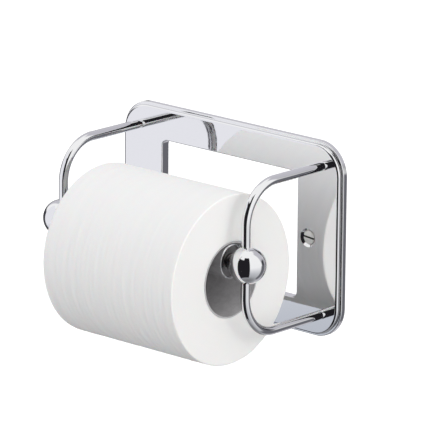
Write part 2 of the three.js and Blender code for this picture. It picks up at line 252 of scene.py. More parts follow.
def steel_material(name, tone, roughness, stretch, strength, metallic=1.0):
    """Turned or drawn steel: fine lines along or round the piece."""
    made, n = material(name)
    lines = n.noise(n.object_point(scale=stretch), 1400, 3, 0.6)
    patches = n.noise(n.object_point(), 160, 3)
    tint = n.blend(n.ramp(patches, 0.3, 0.7), (*tone, 1), (*[c * 0.82 for c in tone], 1))
    n.surface(
        Base_Color=tint,
        Metallic=metallic,
        Roughness=n.ramp(lines, 0.25, 0.75, roughness * 0.75, roughness * 1.3),
        Normal=n.bump(lines, strength, 0.0003),
    )
    return made


def plastic_material(name, tone, roughness):
    """Moulded nylon: a fine grain and slightly uneven colour."""
    made, n = material(name)
    grain = n.noise(n.object_point(), 3200, 3)
    clouds = n.noise(n.object_point(), 220, 2)
    tint = n.blend(clouds, (*tone, 1), (*[c * 0.8 for c in tone], 1))
    n.surface(
        Base_Color=tint,
        Roughness=n.ramp(grain, 0.3, 0.7, roughness * 0.85, roughness * 1.15),
        Normal=n.bump(grain, 0.15, 0.0002),
    )
    return made


def paper_material():
    """Soft tissue: faint crepe lines round the roll, wound layers on its ends."""
    made, n = material("tissue_paper")
    centre = tuple(ROLL_CENTRE)
    crepe = n.noise(n.object_point(centre, (1, 0.05, 0.05)), 1500, 3, 0.6)
    bands = n.noise(n.object_point(centre, (1, 0.02, 0.02)), 260, 2)
    fibres = n.noise(n.object_point(centre), 1700, 4, 0.65)
    flat = n.add("ShaderNodeSeparateXYZ")
    n.feed(flat.inputs[0], n.object_point(centre))
    radius = n.math("SQRT", n.math(
        "ADD",
        n.math("POWER", flat.outputs[1], 2.0),
        n.math("POWER", flat.outputs[2], 2.0),
    ))
    layers = n.add("ShaderNodeTexNoise", noise_dimensions="1D")
    n.feed(layers.inputs["W"], n.math("MULTIPLY", radius, 1900.0))
    n.feed(layers.inputs["Detail"], 3.0)
    facing = n.add("ShaderNodeSeparateXYZ")
    n.feed(facing.inputs[0], n.add("ShaderNodeTexCoord").outputs["Normal"])
    on_end = n.ramp(n.math("ABSOLUTE", facing.outputs[0]), 0.45, 0.8)
    side_height = n.math("ADD", n.math("MULTIPLY", crepe, 0.7), n.math("MULTIPLY", fibres, 0.5))
    end_height = n.math("ADD", layers.outputs["Fac"], n.math("MULTIPLY", fibres, 0.5))
    height = n.add("ShaderNodeMix", data_type="FLOAT")
    n.feed(height.inputs[0], on_end)
    n.feed(height.inputs[2], side_height)
    n.feed(height.inputs[3], end_height)
    side_tone = n.blend(n.ramp(bands, 0.3, 0.7), (0.882, 0.88, 0.882, 1), (0.892, 0.89, 0.891, 1))
    end_tone = n.blend(
        n.ramp(layers.outputs["Fac"], 0.3, 0.7), (0.89, 0.882, 0.872, 1), (0.925, 0.918, 0.908, 1))
    n.surface(
        Base_Color=n.blend(on_end, side_tone, end_tone),
        Roughness=n.ramp(fibres, 0.3, 0.7, 0.88, 1.0),
        Specular_IOR_Level=0.2,
        Sheen_Weight=0.12,
        Sheen_Roughness=0.6,
        Subsurface_Weight=0.12,
        Subsurface_Scale=0.002,
        Normal=n.bump(height.outputs[0], 0.22, 0.0003),
    )
    return made


def cardboard_material():
    """Grey recycled board: mottled pulp, short fibres and dark specks."""
    made, n = material("grey_cardboard")
    centre = tuple(ROLL_CENTRE)
    pulp = n.noise(n.object_point(centre), 260, 5, 0.65)
    fibres = n.noise(n.object_point(centre, (1, 1, 0.4)), 2600, 3)
    speck = n.noise(n.object_point(centre), 5200, 1)
    tint = n.blend(n.ramp(pulp, 0.3, 0.7), (0.49, 0.48, 0.49, 1), (0.57, 0.56, 0.57, 1))
    tint = n.blend(n.ramp(speck, 0.68, 0.74), tint, (0.33, 0.31, 0.29, 1))
    n.surface(
        Base_Color=tint,
        Roughness=n.ramp(fibres, 0.3, 0.7, 0.8, 0.95),
        Specular_IOR_Level=0.25,
        Normal=n.bump(n.math("ADD", fibres, pulp), 0.3, 0.0002),
    )
    return made


CHROME_TONE = (0.86, 0.863, 0.872)
CHROME = chrome_material("polished_chrome", CHROME_TONE, 0.03)
ROLLER_CHROME = chrome_material("roller_chrome", (0.8, 0.8, 0.805), 0.07)
# Steel for the roller caps, made dark to stand for the shade inside the tubes' ends: partly its own
# finish, partly painted shade.
RECESS_STEEL_PAINTED_SHADE = steel_material("cap_steel_with_painted_shade", (0.3, 0.29, 0.285), 0.3, (1, 0.08, 0.08), 0.1)
SCREW_STEEL = steel_material("plated_screw_steel", (0.93, 0.915, 0.885), 0.42, (1, 1, 0.3), 0.1, 0.55)
# Near-black steel for the faces inside the screw slots: painted shade in the slots.
SLOT_PAINTED_SHADE = steel_material("slot_painted_shade", (0.03, 0.03, 0.03), 0.5, (1, 1, 0.3), 0.1)
TURNED_STEEL = steel_material("turned_steel", (0.66, 0.66, 0.655), 0.28, (1, 0.08, 0.08), 0.12)
DARK_STEEL = steel_material("set_screw_steel", (0.3, 0.3, 0.305), 0.35, (1, 1, 1), 0.15)
SPRING_STEEL = steel_material("spring_wire", (0.6, 0.605, 0.615), 0.25, (0.1, 1, 1), 0.1)
PLUG_NYLON = plastic_material("wall_plug_nylon", (0.38, 0.38, 0.37), 0.45)
STOP_NYLON = plastic_material("stop_nylon", (0.82, 0.81, 0.77), 0.4)
PAPER = paper_material()
CARDBOARD = cardboard_material()

# ------------------------------------------------------------------ mesh helpers


def soften(corners, steps=5):
    """A polyline with its corners rounded. A corner is (a, b) or (a, b, radius)."""
    points = []
    count = len(corners)
    for i, corner in enumerate(corners):
        here = Vector(corner[:2])
        radius = corner[2] if len(corner) > 2 else 0
        if not radius:
            points.append(tuple(here))
            continue
        back = (Vector(corners[i - 1][:2]) - here).normalized()
        on = (Vector(corners[(i + 1) % count][:2]) - here).normalized()
        half = back.angle(on) / 2
        centre = here + (back + on).normalized() * (radius / math.sin(half))
        start = here + back * (radius / math.tan(half)) - centre
        turn = start.angle_signed(here + on * (radius / math.tan(half)) - centre)
        for k in range(steps + 1):
            angle = -turn * k / steps
            spin = Matrix.Rotation(angle, 2)
            points.append(tuple(centre + spin @ start))
    return points


def bridge(faces, ring_a, ring_b):
    """Joins two rings of vertex numbers. A ring of one vertex is a tip."""
    count = max(len(ring_a), len(ring_b))
    for i in range(count):
        j = (i + 1) % count
        corners = [
            ring_a[i % len(ring_a)],
            ring_a[j % len(ring_a)],
            ring_b[j % len(ring_b)],
            ring_b[i % len(ring_b)],
        ]
        face = [c for k, c in enumerate(corners) if c != corners[k - 1]]
        faces.append(tuple(face))


class Build:
    """Vertices and faces on the way to a mesh."""

    def __init__(self):
        self.verts = []
        self.faces = []

    def ring(self, points):
        first = len(self.verts)
        self.verts.extend(tuple(p) for p in points)
        return list(range(first, len(self.verts)))

    def loft(self, rings, closed=False):
        for a, b in zip(rings, rings[1:]):
            bridge(self.faces, a, b)
        if closed:
            bridge(self.faces, rings[-1], rings[0])

    def flat_fill(self, rings):
        """A face square to Y whose outline is the first ring and whose holes are the others."""
        loops = [[Vector((self.verts[v][0], self.verts[v][2], 0)) for v in r] for r in rings]
        numbers = [v for r in rings for v in r]
        for triangle in geometry.tessellate_polygon(loops):
            self.faces.append(tuple(numbers[k] for k in triangle))


def axis_point(axis, centre, radius, along, angle):
    """A point at a radius and angle about an axis through centre."""
    u, v = radius * math.cos(angle), radius * math.sin(angle)
    offset = {"x": (along, u, v), "y": (v, along, u), "z": (u, v, along)}[axis]
    return Vector(centre) + Vector(offset)


def turned(profile, axis, centre, segments=128, closed=False):
    """A turned solid. The profile is (radius, distance along the axis) points."""
    build = Build()
    rings = []
    for radius, along in profile:
        if radius < 1e-7:
            rings.append(build.ring([axis_point(axis, centre, 0, along, 0)]))
        else:
            rings.append(build.ring(
                axis_point(axis, centre, radius, along, TAU * i / segments)
                for i in range(segments)))
    build.loft(rings, closed)
    return build


def tube(path, radii, sides, start_side):
    """A round bar along a path. start_side is any direction across its start."""
    build = Build()
    rings = []
    side = Vector(start_side)
    for i, point in enumerate(path):
        ahead = path[min(i + 1, len(path) - 1)] - path[max(i - 1, 0)]
        ahead.normalize()
        side = (side - ahead * side.dot(ahead)).normalized()
        other = ahead.cross(side)
        if radii[i] < 1e-7:
            rings.append(build.ring([point]))
        else:
            rings.append(build.ring(
                point + (side * math.cos(a) + other * math.sin(a)) * radii[i]
                for a in (TAU * k / sides for k in range(sides))))
    build.loft(rings)
    return build


def rounded_rectangle(width, height, radius):
    """(x, z) points of a rectangle with round corners, anticlockwise from the right-hand side."""
    corner_steps, straight_steps = 20, 6
    points = []
    corners = [(1, 1, 0), (-1, 1, 90), (-1, -1, 180), (1, -1, 270)]
    for sx, sz, start in corners:
        for i in range(corner_steps + 1):
            a = math.radians(start + 90 * i / corner_steps)
            points.append((
                sx * (width / 2 - radius) + radius * math.cos(a),
                sz * (height / 2 - radius) + radius * math.sin(a),
            ))
        end = points[-1]
        far = (-end[0], end[1]) if start in (0, 180) else (end[0], -end[1])
        for i in range(1, straight_steps):
            points.append((
                end[0] + (far[0] - end[0]) * i / straight_steps,
                end[1] + (far[1] - end[1]) * i / straight_steps,
            ))
    return points


def mesh_object(name, build, sharp_degrees=None):
    mesh = bpy.data.meshes.new(name)
    mesh.from_pydata([tuple(v) for v in build.verts], [], build.faces)
    mesh.validate()
    obj = bpy.data.objects.new(name, mesh)
    bpy.context.scene.collection.objects.link(obj)
    face_outwards(mesh)
    smooth(mesh, sharp_degrees)
    return obj


def face_outwards(mesh):
    work = bmesh.new()
    work.from_mesh(mesh)
    bmesh.ops.recalc_face_normals(work, faces=work.faces)
    work.to_mesh(mesh)
    work.free()


def smooth(mesh, sharp_degrees=None):
    mesh.polygons.foreach_set("use_smooth", [True] * len(mesh.polygons))
    if sharp_degrees is not None:
        mesh.set_sharp_from_angle(angle=math.radians(sharp_degrees))


def even_shading(obj):
    """Flat faces stay flat beside their rounded edges, as on a ground and polished part."""
    modifier = obj.modifiers.new("even_shading", "WEIGHTED_NORMAL")
    modifier.mode = "FACE_AREA"
    modifier.weight = 100
    modifier.keep_sharp = True


def cut_out(obj, *cutters):
    """Cuts the other objects out of obj for good and removes them."""
    for cutter in cutters:
        modifier = obj.modifiers.new("cut", "BOOLEAN")
        modifier.operation = "DIFFERENCE"
        modifier.solver = "EXACT"
        modifier.object = cutter
    graph = bpy.context.evaluated_depsgraph_get()
    mesh = bpy.data.meshes.new_from_object(obj.evaluated_get(graph))
    old = obj.data
    obj.modifiers.clear()
    obj.data = mesh
    bpy.data.meshes.remove(old)
    for cutter in cutters:
        bpy.data.objects.remove(cutter)


def finish_piece(obj, node, body, surface):
    """Gives a piece its material and the body that it rides on, and hides the CAD node that it stands
    for.
    """
    obj.data.materials.clear()
    obj.data.materials.append(surface)
    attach(obj, body)
    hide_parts(node)
    return obj


# ------------------------------------------------------------------ back plate


def plate_holes(build):
    """The wall screws' holes, right through, and the arm screws' holes, open at the back only.
    Returns the rings in the plate's front and the rings in its back."""
    front, back = [], []
    for side in (-1, 1):
        low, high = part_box(f"{'left' if side < 0 else 'right'}_wall_screw")
        x, z = (low.x + high.x) / 2, 0
        cone = COUNTERSINK_RADIUS - WALL_SCREW_HOLE
        profile = soften([
            (COUNTERSINK_RADIUS + 1 * MM, -PLATE_THICKNESS),
            (COUNTERSINK_RADIUS, -PLATE_THICKNESS, 0.15 * MM),
            (WALL_SCREW_HOLE, -PLATE_THICKNESS + cone, 0.2 * MM),
            (WALL_SCREW_HOLE, 0, 0),
            (WALL_SCREW_HOLE + 1 * MM, 0),
        ])[1:-1]
        rings = hole_rings(build, profile, x, z)
        front.append(rings[0])
        back.append(rings[-1])
        for level in (-1, 1):
            floor = -PLATE_THICKNESS + 0.05 * MM
            profile = soften([
                (0, floor),
                (ARM_SCREW_HOLE, floor),
                (ARM_SCREW_HOLE, -(ARM_SCREW_MOUTH - ARM_SCREW_HOLE), 0.2 * MM),
                (ARM_SCREW_MOUTH, 0, 0),
            ])
            rings = hole_rings(build, profile, side * ARM_SPREAD, level * LEG_HEIGHT)
            back.append(rings[-1])
    return front, back


def hole_rings(build, profile, x, z):
    segments = 64
    rings = []
    for radius, y in profile:
        if radius < 1e-7:
            rings.append(build.ring([(x, y, z)]))
        else:
            rings.append(build.ring(
                (x + radius * math.cos(a), y, z + radius * math.sin(a))
                for a in (TAU * i / segments for i in range(segments))))
    build.loft(rings)
    return rings


def back_plate():
    build = Build()
    t = PLATE_THICKNESS
    outside = soften([
        (1 * MM, 0),
        (0, 0, 0.25 * MM),
        (0, RIM_THICKNESS, RIM_EDGE),
        (RIM_WIDTH, RIM_THICKNESS, 0.3 * MM),
        (RIM_WIDTH, t, FIELD_EDGE),
        (RIM_WIDTH + 3 * MM, t),
    ], 7)[1:-1]
    rings = []
    for inset, depth in outside:
        outline = rounded_rectangle(
            PLATE_WIDTH - 2 * inset, PLATE_HEIGHT - 2 * inset, PLATE_CORNER - inset)
        rings.append(build.ring((x, -depth, z) for x, z in outline))
    build.loft(rings)
    inside = soften([
        (-2 * MM, t),
        (0, t, OPENING_EDGE),
        (0, 0, 0.25 * MM),
        (-2 * MM, 0),
    ], 7)[1:-1]
    opening = []
    for inset, depth in inside:
        outline = rounded_rectangle(
            OPENING_WIDTH - 2 * inset, OPENING_HEIGHT - 2 * inset, OPENING_CORNER - inset)
        opening.append(build.ring((x, -depth, z) for x, z in outline))
    build.loft(opening)
    front_holes, back_holes = plate_holes(build)
    build.flat_fill([rings[-1], opening[0], *front_holes])
    build.flat_fill([rings[0], opening[-1], *back_holes])
    obj = mesh_object("back_plate_casting", build, 50)
    even_shading(obj)
    return finish_piece(obj, "back_plate", "holder", CHROME)


# ------------------------------------------------------------------ arms


def arm_path():
    """The arm's centre line: out from the plate, down the front and back to the plate."""
    start = Vector((0, -PLATE_THICKNESS, LEG_HEIGHT))
    bend_y, bend_z = -(REACH - BEND_RADIUS), LEG_HEIGHT - BEND_RADIUS
    steps = 40
    upper = [start]
    for i in range(1, 12):
        upper.append(start.lerp(Vector((0, bend_y, LEG_HEIGHT)), i / 12))
    for i in range(steps + 1):
        a = math.pi / 2 * (1 + i / steps)
        upper.append(Vector((
            0, bend_y + BEND_RADIUS * math.cos(a), bend_z + BEND_RADIUS * math.sin(a))))
    for i in range(1, 8):
        upper.append(Vector((0, -REACH, bend_z * (1 - i / 8))))
    lower = [Vector((p.x, p.y, -p.z)) for p in reversed(upper)]
    return upper + [Vector((0, -REACH, 0))] + lower


def wire_arm(side):
    name = "left" if side < 0 else "right"
    path = [p + Vector((side * ARM_SPREAD, 0, 0)) for p in arm_path()]
    chamfer = 0.1 * MM
    first, last = path[0], path[-1]
    inward = Vector((0, -1, 0))
    ends = [
        (0.0, 0.0),
        (WIRE_RADIUS - chamfer, 0.0),
        (WIRE_RADIUS - chamfer * 0.35, chamfer * 0.35),
    ]
    start = [first + inward * s for _, s in ends] + [first + inward * chamfer]
    finish = [last + inward * chamfer] + [last + inward * s for _, s in reversed(ends)]
    radii = [r for r, _ in ends] + [WIRE_RADIUS]
    points = start + path[1:-1] + finish
    sizes = radii + [WIRE_RADIUS] * (len(path) - 2) + radii[::-1]
    build = tube(points, sizes, 48, (1, 0, 0))
    obj = mesh_object(f"{name}_arm_wire", build, 40)
    return finish_piece(obj, f"{name}_wire_arm", "holder", CHROME)


# ------------------------------------------------------------------ balls


def ball(side):
    name = "left" if side < 0 else "right"
    centre = Vector((side * BALL_CENTRE.x, BALL_CENTRE.y, BALL_CENTRE.z))
    socket_floor = 6 * MM
    mouth_edge = 0.25 * MM
    mouth_angle = math.asin((SOCKET_RADIUS + mouth_edge) / BALL_RADIUS)
    steps = 96
    profile = [
        (0, -socket_floor),
        (SOCKET_RADIUS, -socket_floor),
        (SOCKET_RADIUS, -BALL_RADIUS * math.cos(mouth_angle) + 0.2 * MM),
    ]
    for i in range(steps + 1):
        a = mouth_angle + (math.pi - mouth_angle) * i / steps
        profile.append((BALL_RADIUS * math.sin(a) if i < steps else 0, -BALL_RADIUS * math.cos(a)))
    if side < 0:
        profile = [(r, -s) for r, s in profile]
    obj = mesh_object(f"{name}_ball_turned", turned(profile, "x", centre, 160), 40)
    wire = Vector((side * ARM_SPREAD, -REACH, centre.z))
    reach = 1.2 * BALL_RADIUS
    fit = WIRE_RADIUS + 0.04 * MM
    screw_fit = 1.6 * MM
    wire_hole = mesh_object("wire_hole", turned(
        [(0, -reach), (fit, -reach), (fit, reach), (0, reach)], "z", wire, 64))
    screw_hole = mesh_object("screw_hole", turned(
        [(0, 0), (screw_fit, 0), (screw_fit, reach), (0, reach)], "y", wire, 32))
    cut_out(obj, wire_hole, screw_hole)
    round_shading(obj.data, centre, BALL_RADIUS)
    return finish_piece(obj, f"{name}_ball", "holder", CHROME)


def round_shading(mesh, centre, radius):
    """A true sphere's shading on every face that lies on it, right up to the edges of the holes."""
    tolerance = 0.02 * MM
    normals = [None] * len(mesh.loops)
    for polygon in mesh.polygons:
        corners = [mesh.vertices[v].co for v in polygon.vertices]
        on_sphere = all(abs((c - centre).length - radius) < tolerance for c in corners)
        for loop, corner in zip(polygon.loop_indices, corners):
            normals[loop] = (corner - centre).normalized() if on_sphere else polygon.normal
    mesh.normals_split_custom_set([tuple(v) for v in normals])


# ------------------------------------------------------------------ roller


def roller_sleeve():
    wall = SLEEVE_RADIUS - TUBE_WALL
    lip = PLUNGER_RADIUS + 0.3 * MM
    mouth, end = SLEEVE_LOW.x, ROLLER_HALF
    profile = soften([
        (lip, mouth, 0.15 * MM),
        (SLEEVE_RADIUS, mouth, 0.8 * MM),
        (SLEEVE_RADIUS, end, 0.7 * MM),
        (wall, end, 0.15 * MM),
        (wall, mouth + 1 * MM),
        (lip, mouth + 1 * MM, 0.15 * MM),
    ])
    obj = mesh_object("roller_sleeve_tube", turned(profile, "x", ROLLER_AXIS, 128, True), 40)
    return finish_piece(obj, "roller_sleeve", "roller", ROLLER_CHROME)


def roller_plunger():
    wall = PLUNGER_RADIUS - TUBE_WALL
    profile = soften([
        (wall, PLUNGER_LOW.x, 0.15 * MM),
        (PLUNGER_RADIUS, PLUNGER_LOW.x, 0.7 * MM),
        (PLUNGER_RADIUS, PLUNGER_HIGH.x, 0.2 * MM),
        (wall, PLUNGER_HIGH.x, 0.1 * MM),
    ])
    obj = mesh_object("roller_plunger_tube", turned(profile, "x", ROLLER_AXIS, 128, True), 40)
    return finish_piece(obj, "roller_plunger", "plunger", ROLLER_CHROME)


def roller_cap(node, body):
    """The disc in the end of a tube: a recessed face, with a boss round the pin."""
    low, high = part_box(node)
    radius = (high.z - low.z) / 2 + 0.2 * MM
    sign = 1 if high.x > 0 else -1
    inner, outer = (low.x, high.x) if sign > 0 else (high.x, low.x)
    recess = 0.55 * (outer - inner)
    face = outer - recess
    profile = soften([
        (PIN_RADIUS + 0.05 * MM, inner),
        (radius, inner, 0.2 * MM),
        (radius, face, 0.3 * MM),
        (BOSS_RADIUS, face, 0.3 * MM),
        (BOSS_RADIUS, outer, 0.4 * MM),
        (PIN_RADIUS + 0.05 * MM, outer, 0.1 * MM),
    ])
    obj = mesh_object(f"{node}_disc", turned(profile, "x", ROLLER_AXIS, 96, True), 40)
    # The disc's dark steel is painted shade for the hollow in the tube's end.
    return finish_piece(obj, node, body, RECESS_STEEL_PAINTED_SHADE)


def roller_pin(node, body):
    low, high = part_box(node)
    sign = 1 if high.x > 0 else -1
    head, tip = (low.x, high.x) if sign > 0 else (high.x, low.x)
    head_radius, head_length = 4.2 * MM, 1.7 * MM
    neck = head + sign * head_length
    profile = soften([
        (0, head),
        (head_radius, head, 0.3 * MM),
        (head_radius, neck, 0.2 * MM),
        (PIN_RADIUS, neck, 0.15 * MM),
        (PIN_RADIUS, tip, 0.9 * MM),
        (0, tip),
    ])
    obj = mesh_object(f"{node}_turned", turned(profile, "x", ROLLER_AXIS, 64), 40)
    return finish_piece(obj, node, body, TURNED_STEEL)


def plunger_stop():
    low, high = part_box("roller_plunger_stop")
    flange = (high.z - low.z) / 2
    spigot = PLUNGER_RADIUS - TUBE_WALL - 0.15 * MM
    nose, nose_length, flange_width = 5.4 * MM, 6 * MM, 3 * MM
    flange_end = high.x - nose_length
    flange_start = flange_end - flange_width
    profile = soften([
        (0, low.x),
        (spigot, low.x, 0.6 * MM),
        (spigot, flange_start, 0.2 * MM),
        (flange, flange_start, 0.4 * MM),
        (flange, flange_end, 0.4 * MM),
        (nose, flange_end, 0.4 * MM),
        (nose, high.x, 1.2 * MM),
        (0, high.x),
    ])
    obj = mesh_object("roller_plunger_stop_moulding", turned(profile, "x", ROLLER_AXIS, 96), 40)
    return finish_piece(obj, "roller_plunger_stop", "plunger", STOP_NYLON)


def roller_spring():
    low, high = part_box("roller_spring")
    wire = 0.5 * MM
    coil = (high.z - low.z) / 2 - wire
    turns, per_turn, closed_pitch = 11, 40, 1.5 * MM
    start, end = low.x + wire, high.x - wire
    open_pitch = (end - start - 2 * closed_pitch) / (turns - 2)
    path = []
    for i in range(turns * per_turn + 1):
        turn = i / per_turn
        opened = min(max(turn - 1, 0), turns - 2)
        x = start + opened * open_pitch + (turn - opened) * closed_pitch
        a = TAU * turn
        path.append(ROLLER_AXIS + Vector((x, coil * math.cos(a), coil * math.sin(a))))
    tip = 0.12 * MM
    radii = [0.0, wire - tip] + [wire] * (len(path) - 2) + [wire - tip, 0.0]
    path = [path[0]] + path + [path[-1]]
    build = tube(path, radii, 16, (0, 1, 0))
    obj = mesh_object("roller_spring_coil", build, 60)
    finish_piece(obj, "roller_spring", "roller", SPRING_STEEL)
    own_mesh(obj)
    return obj


# ------------------------------------------------------------------ screws and plugs


def screw(node, size, surface):
    """A slotted countersunk screw along Y. Its sizes along it are from the head's top."""
    head_radius, shank_radius = size["head_radius"], size["shank_radius"]
    slot_width, slot_depth = size["slot_width"], size["slot_depth"]
    start, end = size["thread_start"], size["point_start"]
    pitch, depth = size["pitch"], size["thread_depth"]
    low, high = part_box(node)
    x, z = (low.x + high.x) / 2, (low.z + high.z) / 2
    top_is_low = not node.endswith("arm_screw")
    sign = 1 if top_is_low else -1
    top = low.y if top_is_low else high.y
    length = high.y - low.y
    segments = 48
    build = Build()
    rings = [build.ring([(x, top, z)])]
    head = soften([
        (0, 0),
        (head_radius, 0, 0.12 * MM),
        (head_radius, 0.25 * MM, 0.1 * MM),
        (shank_radius, 0.25 * MM + head_radius - shank_radius, 0.2 * MM),
        (shank_radius, start),
    ], 3)[1:]
    for radius, along in head:
        rings.append(build.ring(
            (x + radius * math.cos(a), top + sign * along, z + radius * math.sin(a))
            for a in (TAU * i / segments for i in range(segments))))
    step = pitch / 12
    count = int((length - start) / step)
    for k in range(1, count):
        along = start + k * step
        taper = min(1.0, (length - along) / (length - end)) if along > end else 1.0
        fade = min(1.0, (along - start) / pitch)
        points = []
        for i in range(segments):
            a = TAU * i / segments
            phase = (along / pitch - i / segments) % 1.0
            ridge = max(0.0, 1 - abs(phase - 0.5) / 0.3)
            base = (shank_radius - depth * fade) * (0.12 + 0.88 * taper)
            radius = base + depth * ridge * fade * min(1.0, taper * 1.6)
            points.append((x + radius * math.cos(a), top + sign * along, z + radius * math.sin(a)))
        rings.append(build.ring(points))
    rings.append(build.ring([(x, top + sign * length, z)]))
    build.loft(rings)
    obj = mesh_object(f"{node}_threaded", build, 35)
    slot_tool = bpy.data.objects.new("slot_tool", bpy.data.meshes.new("slot_tool"))
    bpy.context.scene.collection.objects.link(slot_tool)
    box_mesh(slot_tool.data, (2.4 * head_radius, 2 * slot_depth, slot_width))
    turn = Matrix.Rotation(size["slot_angle"], 4, "Y")
    slot_tool.matrix_world = Matrix.Translation((x, top, z)) @ turn
    bpy.context.view_layer.update()
    cut_out(obj, slot_tool)
    smooth(obj.data, 35)
    finish_piece(obj, node, "holder", surface)
    # The slot's faces get the near-black material: painted shade in the slot.
    obj.data.materials.append(SLOT_PAINTED_SHADE)
    across = Vector((math.sin(size["slot_angle"]), 0, math.cos(size["slot_angle"])))
    for polygon in obj.data.polygons:
        place = polygon.center - Vector((x, top, z))
        between_sides = abs(place.dot(across)) < 0.55 * slot_width
        if between_sides and 1e-5 < sign * place.y < 1.1 * slot_depth:
            polygon.material_index = 1
    return obj


def box_mesh(mesh, size):
    work = bmesh.new()
    bmesh.ops.create_cube(work, size=1)
    bmesh.ops.scale(work, vec=size, verts=work.verts)
    work.to_mesh(mesh)
    work.free()


def grub_screw(node):
    """A headless screw along Y with a hexagonal socket in the end that faces the wall."""
    low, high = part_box(node)
    centre = Vector(((low.x + high.x) / 2, 0, (low.z + high.z) / 2))
    radius, point = 1.5 * MM, 0.4 * MM
    profile = soften([
        (0, low.y),
        (radius - point, low.y, 0.1 * MM),
        (radius, low.y + point, 0.1 * MM),
        (radius, high.y, 0.2 * MM),
        (0, high.y),
    ])
    obj = mesh_object(f"{node}_socket_head", turned(profile, "y", centre, 48), 40)
    key_radius, key_floor, key_top = 0.87 * MM, high.y - 2.4 * MM, high.y + 1 * MM
    key_profile = [(0, key_floor), (key_radius, key_floor), (key_radius, key_top), (0, key_top)]
    key = mesh_object("key", turned(key_profile, "y", centre, 6))
    cut_out(obj, key)
    smooth(obj.data, 35)
    return finish_piece(obj, node, "holder", DARK_STEEL)


def wall_plug(node):
    """A ribbed nylon plug with a slit, blind at its far end."""
    low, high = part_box(node)
    centre = Vector(((low.x + high.x) / 2, 0, (low.z + high.z) / 2))
    radius = (high.z - low.z) / 2
    length = high.y - low.y
    bore, nose, ribs, rib_depth = 2.3 * MM, 4 * MM, 6, 0.35 * MM
    slit_width, slit_length = 0.9 * MM, length * 0.45
    pitch = (length - nose) / ribs
    corners = [(bore, low.y, 0.15 * MM)]
    for i in range(ribs):
        corners.append((radius, low.y + i * pitch, 0.15 * MM))
        corners.append((radius - rib_depth, low.y + (i + 0.97) * pitch, 0.1 * MM))
    corners += [
        (radius * 0.5, high.y, 0.5 * MM),
        (0, high.y),
        (0, high.y - 1.2 * MM),
        (bore, high.y - nose + 1 * MM),
    ]
    profile = soften(corners, 3)
    obj = mesh_object(f"{node}_ribbed", turned(profile, "y", centre, 64, True), 40)
    slit = bpy.data.objects.new("slit", bpy.data.meshes.new("slit"))
    bpy.context.scene.collection.objects.link(slit)
    box_mesh(slit.data, (slit_width, slit_length, 3 * radius))
    slit.location = (centre.x, low.y + length * 0.525, centre.z)
    bpy.context.view_layer.update()
    cut_out(obj, slit)
    smooth(obj.data, 35)
    return finish_piece(obj, node, "holder", PLUG_NYLON)


# ------------------------------------------------------------------ roll of paper


def wound_paper():
    """Wound tissue: a spiral outside, its free edge underneath, with soft rims and layered ends."""
    around, across, depth = 288, 260, 60
    half = (ROLL_HIGH.x - ROLL_LOW.x) / 2
    inner = CORE_RADIUS + PAPER_GAP
    layer = 0.28 * MM
    slack = 0.22 * MM
    rim = 0.9 * MM
    rim_steps = 8
    build = Build()
    rings = []

    def radius_at(u, x):
        """The outer surface's radius at a share u of a turn: one layer lost along the turn, and
        creases round the roll that are deepest underneath."""
        soft = noise.noise(Vector((1.5 * math.cos(TAU * u), 1.5 * math.sin(TAU * u), 12 * x)))
        ridges = noise.noise(Vector((2.6 * math.cos(TAU * u), 2.6 * math.sin(TAU * u), 420 * x)))
        underside = 0.5 - 0.5 * math.sin(math.radians(TAIL_ANGLE) - TAU * u)
        height = (0.07 + 0.17 * underside) * MM
        return ROLL_RADIUS - layer * u - slack - 0.03 * MM * soft - height * ridges

    def face_offset(r, u):
        """How far the end face stands in at a radius: layers a little out of line."""
        wide = noise.noise(Vector((r * 140, 2 * math.cos(TAU * u), 2 * math.sin(TAU * u))))
        fine = noise.noise(Vector((r * 1400, 0.4 * math.cos(TAU * u), 0.4 * math.sin(TAU * u))))
        return 0.1 * MM + 0.07 * MM * wide + 0.03 * MM * fine

    columns = [i / around for i in range(around)] + [1.0]

    def point(u, r, x):
        a = -TAU * u + math.radians(TAIL_ANGLE)
        return ROLL_CENTRE + Vector((x, r * math.cos(a), r * math.sin(a)))

    for end in (-1, 1):
        side_rings = []
        for k in range(depth + 1):
            share = k / depth
            row = []
            for u in columns:
                outer = radius_at(u, end * half) - rim
                r = inner + (outer - inner) * share
                ease = max(0.0, 1 - (r - inner) / (1.2 * MM))
                x = end * (half - face_offset(r, u) - 0.35 * MM * ease ** 2)
                row.append(point(u, r, x))
            side_rings.append(row)
        rim_rings = []
        for k in range(1, rim_steps + 1):
            a = math.pi / 2 * k / rim_steps
            row = []
            for u in columns:
                outer = radius_at(u, end * half) - rim
                dip = face_offset(outer, u) * math.cos(a)
                x = end * (half - dip - rim + rim * math.cos(a))
                row.append(point(u, outer + rim * math.sin(a), x))
            rim_rings.append(row)
        rings.append(side_rings + rim_rings)
    middle = []
    for k in range(1, across):
        x = -half + rim + (2 * half - 2 * rim) * k / across
        middle.append([point(u, radius_at(u, x), x) for u in columns])
    profile = rings[0] + middle + rings[1][::-1]
    numbered = [build.ring(row) for row in profile]
    build.loft(numbered, closed=True)
    return build


def paper_roll():
    obj = mesh_object("paper_roll_wound", wound_paper(), 50)
    return finish_piece(obj, "paper_roll", "roll", PAPER)


